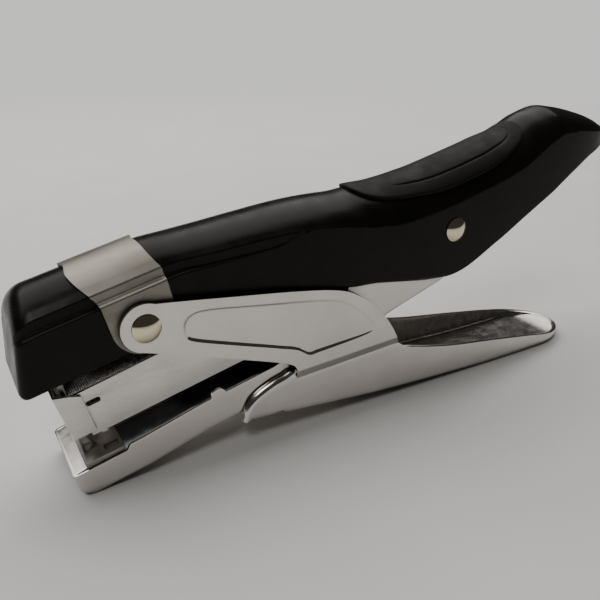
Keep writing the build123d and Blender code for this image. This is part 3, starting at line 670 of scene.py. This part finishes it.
def inside_distance(points, outline):
    """Distance of (x, z) points from a closed outline, positive inside it."""
    points, outline = np.array(points, float), np.array(outline, float)
    best = np.full(len(points), 1e9)
    odd = np.zeros(len(points), bool)
    for a, b in zip(outline, np.roll(outline, -1, axis=0)):
        along = b - a
        t = np.clip((points - a) @ along / (along @ along), 0, 1)
        best = np.minimum(best, np.linalg.norm(points - a - t[:, None] * along, axis=1))
        crosses = (a[1] > points[:, 1]) != (b[1] > points[:, 1])
        with np.errstate(divide="ignore", invalid="ignore"):
            at = a[0] + (points[:, 1] - a[1]) * (b[0] - a[0]) / (b[1] - a[1])
        odd ^= crosses & (points[:, 0] < at)
    return np.where(odd, best, -best)


def lever_plate(side):
    """One side plate of the lower handle, with its pressed recess, as columns across its length."""
    tip = 0.47
    along, across = np.array([cos(tip), -sin(tip)]), np.array([sin(tip), cos(tip)])
    angles = np.linspace(pi - tip, radians(57), 40)
    round_end = np.stack([FRONT_R * np.cos(angles), FRONT_R * np.sin(angles)], -1)
    upper = np.vstack([round_end, smooth_path(TOP_EDGE, 200)])
    angles = np.linspace(pi - tip, radians(236), 30)
    round_end = np.stack([FRONT_R * np.cos(angles), FRONT_R * np.sin(angles)], -1)
    lower = np.vstack([round_end, smooth_path(LOW_EDGE, 150), even([LOW_EDGE[-1], TOP_EDGE[-1]], 40)])
    start, corner, end = -FRONT_R, float(np.array(LOW_EDGE[-1]) @ along), float(upper[-1] @ along)
    stations = np.concatenate([start * np.cos(np.linspace(0.02, pi / 2, 30)), np.linspace(0.2, corner, 120),
                               corner + (end - corner) * np.linspace(0, 1, 90)[1:-1], [end - 0.02]])
    low = np.interp(stations, lower @ along, lower @ across)
    high = np.interp(stations, upper @ along, upper @ across)
    mix = np.linspace(0, 1, 110)
    points = (stations[:, None, None] * along
              + (low[:, None] + (high - low)[:, None] * mix)[..., None] * across).reshape(-1, 2)
    depth = inside_distance(points, smooth_path(RECESS + RECESS[:1], 160)[:-1])
    fade = 1 - ease((points[:, 0] + 0.9 * points[:, 1] - 14) / 22)
    y = OUT - 0.5 * ease(depth / 0.75 + 0.5) * (0.12 + 0.88 * fade)
    grid = np.stack([points[:, 0], side * y, points[:, 1]], -1).reshape(len(stations), len(mix), 3)
    return grid, (30, 0, -15)


def joggle(side):
    """Slanted band that steps the plate in to the flank of the scoop."""
    t = np.linspace(0, 1, 40)
    a = np.stack([30.6 + (60.3 - 30.6) * t, np.full(40, OUT), -28.3 + (-33.4 + 28.3) * t], -1)
    b = np.stack([30.4 + (61.2 - 30.4) * t, np.full(40, IN), -31.0 + (-36.2 + 31.0) * t], -1)
    mix = np.linspace(0, 1, 12)[None, :, None]
    grid = a[:, None] * (1 - mix) + b[:, None] * mix
    return grid * (1, side, 1), (45, 0, -30)


def tray(outline, spine, rim, floor, radius, walls=10, turns=8, rows=14):
    """Pressed tray: a wall round the outline, a rounded foot and a floor that runs in to the spine."""
    outline, spine = np.array(outline, float), np.array(spine, float)
    way = np.gradient(outline, axis=0)
    way /= np.linalg.norm(way, axis=1)[:, None]
    inward = np.stack([-way[:, 1], way[:, 0]], -1)
    inward *= np.sign(np.einsum("ij,ij->i", inward, spine - outline))[:, None]
    columns = []
    radius = np.minimum(radius, 0.7 * np.abs(rim - floor(outline[:, 0])))
    foot = outline + inward * radius[:, None]
    for t in np.linspace(0, 1, walls):
        z = rim + (floor(outline[:, 0]) + radius - rim) * t
        columns.append(np.column_stack([outline, z]))
    for angle in np.linspace(0, pi / 2, turns)[1:]:
        place = outline + inward * radius[:, None] * (1 - cos(angle))
        columns.append(np.column_stack([place, floor(place[:, 0]) + radius * (1 - sin(angle))]))
    for t in np.linspace(0, 1, rows)[1:]:
        place = foot + (spine - foot) * t**1.3
        columns.append(np.column_stack([place, floor(place[:, 0])]))
    return np.stack(columns, 1)


def mirrored(path):
    """A plan path from the near side, continued over the mid plane to the far side."""
    return np.vstack([path, path[::-1][1:] * (1, -1)])


def scoop():
    """The palm rest: deep flanks, a flat bottom and a rounded open end."""
    flank = np.column_stack([np.concatenate([np.linspace(15.2, 31, 40), np.linspace(31.6, 113.6, 110)]),
                             np.full(150, -IN)])
    bend = smooth_path([(108, -IN), (114, -IN), (119.5, -10.3), (124.2, -7.7), (127.2, -4.0), (128.0, 0),
                        (127.2, 4.0), (124.2, 7.7), (119.5, 10.3), (114, IN), (108, IN)], 201)
    bend = bend[(bend[:, 0] >= 114) & (bend[:, 1] <= 0)]
    near = np.vstack([flank, bend])
    outline = mirrored(near)
    x = outline[:, 0]
    front = smooth_path(FRONT_EDGE, 60)
    rim = np.where(x < 30.4, np.interp(x, front[:, 0], front[:, 1]),
                   np.where(x < 61.2, np.interp(x, [30.4, 61.2], [-31.0, -36.2]), RIM(x)))
    spine = np.column_stack([np.clip(x, 0, 114), np.zeros(len(x))])
    return tray(outline, spine, rim, FLOOR, 1.7), (70, 0, -25)


def rolled_edge(side):
    """The front edge of each flank rolls inwards."""
    edge = smooth_path(FRONT_EDGE, 70)
    way = np.gradient(edge, axis=0)
    way /= np.linalg.norm(way, axis=1)[:, None]
    out = np.stack([-way[:, 1], way[:, 0]], -1)
    share = np.linspace(0, 1, len(edge))
    radius = 1.7 * (0.6 + 0.4 * ease(share / 0.2)) * (0.2 + 0.8 * ease((1 - share) / 0.12))
    columns = []
    for angle in np.linspace(0, pi / 2, 14):
        place = edge + out * (radius * sin(angle))[:, None]
        columns.append(np.column_stack([place[:, 0], IN - radius * (1 - cos(angle)), place[:, 1]]))
    return np.stack(columns, 1) * (1, side, 1), (26, side * 5, -38)


def notch(middle):
    """Slot through the fold between each flank and the bottom of the scoop."""
    x, y, z = middle.T
    return (x > 19.3) & (x < 25) & (np.abs(y) > IN - 2.4) & (z < -37.4) & (z > -41)


def lower_handle():
    sheets = [scoop()]
    for side in (-1, 1):
        sheets += [lever_plate(side), joggle(side), rolled_edge(side)]
    return sheet_metal(build("lower_handle_pressing", *sheets, gap=notch), GAUGE, 0.3)


# ---- jaw ----------------------------------------------------------------------------------------
JAW_RIM = [(-25.5, -27.25), (-13.2, -27.25), (-12.9, -27.1), (-12.1, -26.15), (-11.8, -26), (8.9, -26),
           (9.05, -25.3), (9.6, -24.6), (10.75, -24.3), (11.9, -24.6), (12.45, -25.3), (12.6, -26),
           (26, -26), (36, -24.6), (44, -21.8), (48, -17.5), (52, -13.2), (58, -9.6), (66, -7),
           (76, -5.6), (82, -5.4), (87, -6.2), (89.6, -8.5)]


def jaw_floor(x):
    x = np.asarray(x, float)
    run = np.interp(x, [-22, 30, 62, 79, 84, 87.5, 90.4], [-34, -34, -27.6, -25.9, -24.4, -21.6, -15.5])
    nose = np.clip(-22 - x, 0, 3.499)
    return run + 3.5 - np.sqrt(3.5**2 - nose**2)


def jaw():
    """Chromed channel: wide, square toe at the anvil, narrower arms back to the rear pivot."""
    stations = np.concatenate([np.linspace(90, 13, 110), np.linspace(12.7, 8.8, 30),
                               np.linspace(8, -11.6, 30), np.linspace(-11.8, -13.2, 8),
                               np.linspace(-14, -24, 14)])
    side = np.array([(x, -float(np.interp(x, [-9, 6], [10.5, 9.4]))) for x in stations])
    corner = [(-25.5 + 1.3 * (1 - cos(a)), -10.5 + 1.3 * (1 - sin(a))) for a in np.linspace(pi / 2, 0, 9)]
    front = [(-25.5, y) for y in np.linspace(-9.2, 0, 16)[1:]]
    outline = mirrored(np.vstack([side, corner, front]))
    spine = np.column_stack([np.clip(outline[:, 0], -21, 200), np.zeros(len(outline))])
    xs, zs = np.array(JAW_RIM).T
    rim = np.interp(outline[:, 0], xs, zs)
    grid = tray(outline, spine, rim, jaw_floor, 0.9, walls=12, rows=18)
    lip = np.array([[(x, y, -27.28 + 0.25 * (x + 25.3) / 3.15) for y in np.linspace(-9.6, 9.6, 40)]
                    for x in np.linspace(-25.3, -22.15, 8)])
    sheets = [(grid, (20, 0, -15)), (lip, (-23, 0, -60))]
    return sheet_metal(build("jaw_channel", *sheets), 0.8, 0.16)


# ---- small parts --------------------------------------------------------------------------------


def staples():
    """The strip of staples: one bent wire after another."""
    sheets = []
    for x in np.arange(-19.05, 8.0, 0.5):
        path = [(x, y, z) for y, z in fillet([(-6.1, -19.9), (-6.1, -14.4), (6.1, -14.4), (6.1, -19.9)],
                                             [0.5, 0.5], 4, rest=())]
        sheets.append((tube(path, 0.25, 8), (x, 0, -17)))
    return bake(build("staple_wires", *sheets), 60)


def coil_path(radius, turns, pitch, per_turn=28):
    t = np.linspace(0, turns, int(turns * per_turn) + 1)
    return np.stack([radius * np.cos(2 * pi * t), t * pitch, radius * np.sin(2 * pi * t)], -1)


def return_spring():
    """Torsion spring round the rear pivot."""
    x, z = REAR.x, REAR.z
    coil = coil_path(4.2, 5, 1.3) * (1, 1, 1) + (x, -3.25, z)
    down = fillet([(x + 4.2, coil[-1][1], z), (x + 4.2, coil[-1][1], z - 5),
                   (x - 12.5, coil[-1][1], z - 12.4)],
                  [1.5], 10)
    over = fillet([(x + 4.2, coil[0][1], z), (x + 4.2, coil[0][1], z + 5), (x - 20, coil[0][1], z + 9.0)],
                  [1.5], 10)
    return bake(build("return_spring_wire", (tube(coil, 0.55), (x, 0, z)), (tube(down, 0.55), (x, 3, z - 6)),
                      (tube(over, 0.55), (x, -3, z + 6))), 60)


def feed_spring():
    turns, length = 24, 39.5
    t = coil_path(1.75, turns, length / turns, 20)
    path = np.column_stack([17.6 + t[:, 1], t[:, 0], -12.1 + t[:, 2]])
    return bake(build("feed_spring_wire", (tube(path, 0.3, 8), (37, 0, -12.1))), 60)


def leaf_spring():
    path = smooth_path([(28, 5.8), (21.2, 5.3), (15.5, -1.2), (10, -7.7), (7, -9.1), (4.4, -9.45),
                        (2, -9.2)], 60)
    across = np.linspace(-7.2, 7.2, 9)
    grid = np.array([[(x, y, z) for y in across] for x, z in path])
    return sheet_metal(build("magazine_leaf", (grid, (20, 0, -20))), 0.35, 0.08)


# ---- assembly -----------------------------------------------------------------------------------
shell, painted_channel_shade = casing()
dress(shell, "upper_handle", BLACK, "black_plastic", "handle_shell")
dress(painted_channel_shade, "upper_handle", BLACK, "black_plastic")
dress(grip(), "upper_handle", RUBBER, "grip_rubber", "grip_pad")
dress(saddle(), "upper_handle", NICKEL, "satin_nickel", "head_saddle")
rivet_heads("front_rivet", 0, 0, OUT + 0.02, "front_pivot_rivet")
rivet_heads("rear_rivet", REAR.x, REAR.z, 11.12, "rear_pivot_rivet")
dress(lower_handle(), "lower_handle", CHROME, "chromed_steel", "lower_handle")
dress(jaw(), "jaw", CHANNEL, "chromed_steel", "anvil_arm")
dress(from_cad("anvil_plate", 0.12), "jaw", DULL, "dull_steel", "anvil_plate")
dress(from_cad("magazine_channel", 0.12), "magazine", PLATED, "plated_steel", "magazine_channel")
dress(from_cad("magazine_front_cap", 0.14, split=True), "magazine", PLATED, "plated_steel",
      "magazine_front_cap")
dress(staples(), "magazine", WIRE, "staple_wire", "staple_strip")
spring = dress(feed_spring(), "magazine", SPRING, "spring_steel", "feed_spring")
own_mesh(spring)
leaf = dress(leaf_spring(), None, SPRING, "spring_steel", "magazine_leaf_spring")
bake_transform(leaf)
coil = dress(return_spring(), None, SPRING, "spring_steel", "return_spring")
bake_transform(coil)
for node, body, material, slot, edge in [
        ("inner_frame", "upper_handle", PLATED, "plated_steel", 0.1),
        ("driver_blade", "upper_handle", SPRING, "spring_steel", 0.06),
        ("driver_rivets", "upper_handle", RIVET, "chrome_rivet", 0.1),
        ("pivot_spacer", "upper_handle", PLATED, "plated_steel", 0.1),
        ("staple_rail", "magazine", PLATED, "plated_steel", 0.1),
        ("pusher", "pusher", NYLON, "black_nylon", 0.2),
        ("spring_anchor", "magazine", PLATED, "plated_steel", 0.1),
        ("feed_rod", "magazine", SPRING, "spring_steel", 0.1),
        ("thrust_pad", "lower_handle", NYLON, "black_nylon", 0.2)]:
    dress(from_cad(node, edge), body, material, slot, node)

# ---- camera, floor and light --------------------------------------------------------------------
camera = bpy.data.objects.new("camera", bpy.data.cameras.new("camera"))
bpy.context.scene.collection.objects.link(camera)
camera.data.sensor_width, camera.data.lens = 36, 40.48
camera.data.clip_start = 0.01
right, up, ahead = Vector((0.86595, -0.50009, -0.00571)), Vector((0.20610, 0.34643, 0.91515)), \
    Vector((0.45568, 0.79366, -0.40306))
camera.matrix_world = Matrix.Translation((-0.09662, -0.13746, 0.09973)) @ \
    Matrix([right, up, -ahead]).transposed().to_4x4()
bpy.context.scene.camera = camera

PALE = (0.80, 0.79, 0.772)    # backdrop, as the camera sees it
BACKDROP = (0.3, 0.8)         # distances, in metres, over which the lit paper turns into the backdrop
floor_mesh = bpy.data.meshes.new("floor")
bm = bmesh.new()
bmesh.ops.create_circle(bm, cap_ends=True, segments=96, radius=4.0)
bm.to_mesh(floor_mesh)
bm.free()
floor = bpy.data.objects.new("floor", floor_mesh)
bpy.context.scene.collection.objects.link(floor)
paper = Finish("pale floor", Roughness=0.9, Specular_IOR_Level=0.1)
paper.colours(paper.noise(60, 3), (0.83, 0.825, 0.815), (0.80, 0.795, 0.785))
paper.bump(paper.noise(0.6, 3), 0.02)

# away from the tool the camera, and nothing else, sees an even pale backdrop instead of lit paper
distance = paper.node("ShaderNodeVectorMath", Vector=paper.place)
distance.operation = "LENGTH"
seen_far = paper.maths("MULTIPLY", paper.node("ShaderNodeLightPath").outputs["Is Camera Ray"],
                       paper.spread(distance.outputs["Value"], 0, 1, *BACKDROP))
backdrop = paper.node("ShaderNodeEmission", Color=(*PALE, 1), Strength=1.0)
surface = paper.tree.nodes.new("ShaderNodeMixShader")
for socket, value in zip(surface.inputs, (seen_far, paper.shader.outputs[0], backdrop.outputs[0])):
    paper.plug(socket, value)
paper.tree.links.new(surface.outputs[0], paper.tree.nodes["Material Output"].inputs["Surface"])
floor.data.materials.append(paper.material)


def area_light(name, place, target, size, power, colour=(1, 1, 1)):
    data = bpy.data.lights.new(name, "AREA")
    data.shape, data.size, data.size_y = "RECTANGLE", size[0], size[1]
    data.energy, data.color = power, colour
    lamp = bpy.data.objects.new(name, data)
    bpy.context.scene.collection.objects.link(lamp)
    lamp.location = place
    lamp.rotation_euler = (Vector(target) - Vector(place)).to_track_quat("-Z", "Y").to_euler()
    return lamp


area_light("ceiling", (0.05, 0.6, 0.8), (0.05, 0.6, 0.0), (1.6, 1.2), 13.5, (1.0, 0.98, 0.95))
area_light("key", (-0.35, -0.35, 0.8), (0, 0.0, 0.0), (0.3, 0.3), 1.4, (1.0, 0.985, 0.96))

# the room is pale to the camera and dark to everything else, so polished steel keeps its contrast
world = bpy.data.worlds.new("studio")
world.use_nodes = True
tree = world.node_tree
room = tree.nodes["Background"]
room.inputs["Color"].default_value, room.inputs["Strength"].default_value = (0.80, 0.79, 0.77, 1), 0.05
pale = tree.nodes.new("ShaderNodeBackground")
pale.inputs["Color"].default_value, pale.inputs["Strength"].default_value = (*PALE, 1), 1.0
path = tree.nodes.new("ShaderNodeLightPath")
choice = tree.nodes.new("ShaderNodeMixShader")
tree.links.new(path.outputs["Is Camera Ray"], choice.inputs[0])
tree.links.new(room.outputs[0], choice.inputs[1])
tree.links.new(pale.outputs[0], choice.inputs[2])
tree.links.new(choice.outputs[0], tree.nodes["World Output"].inputs["Surface"])
bpy.context.scene.world = world
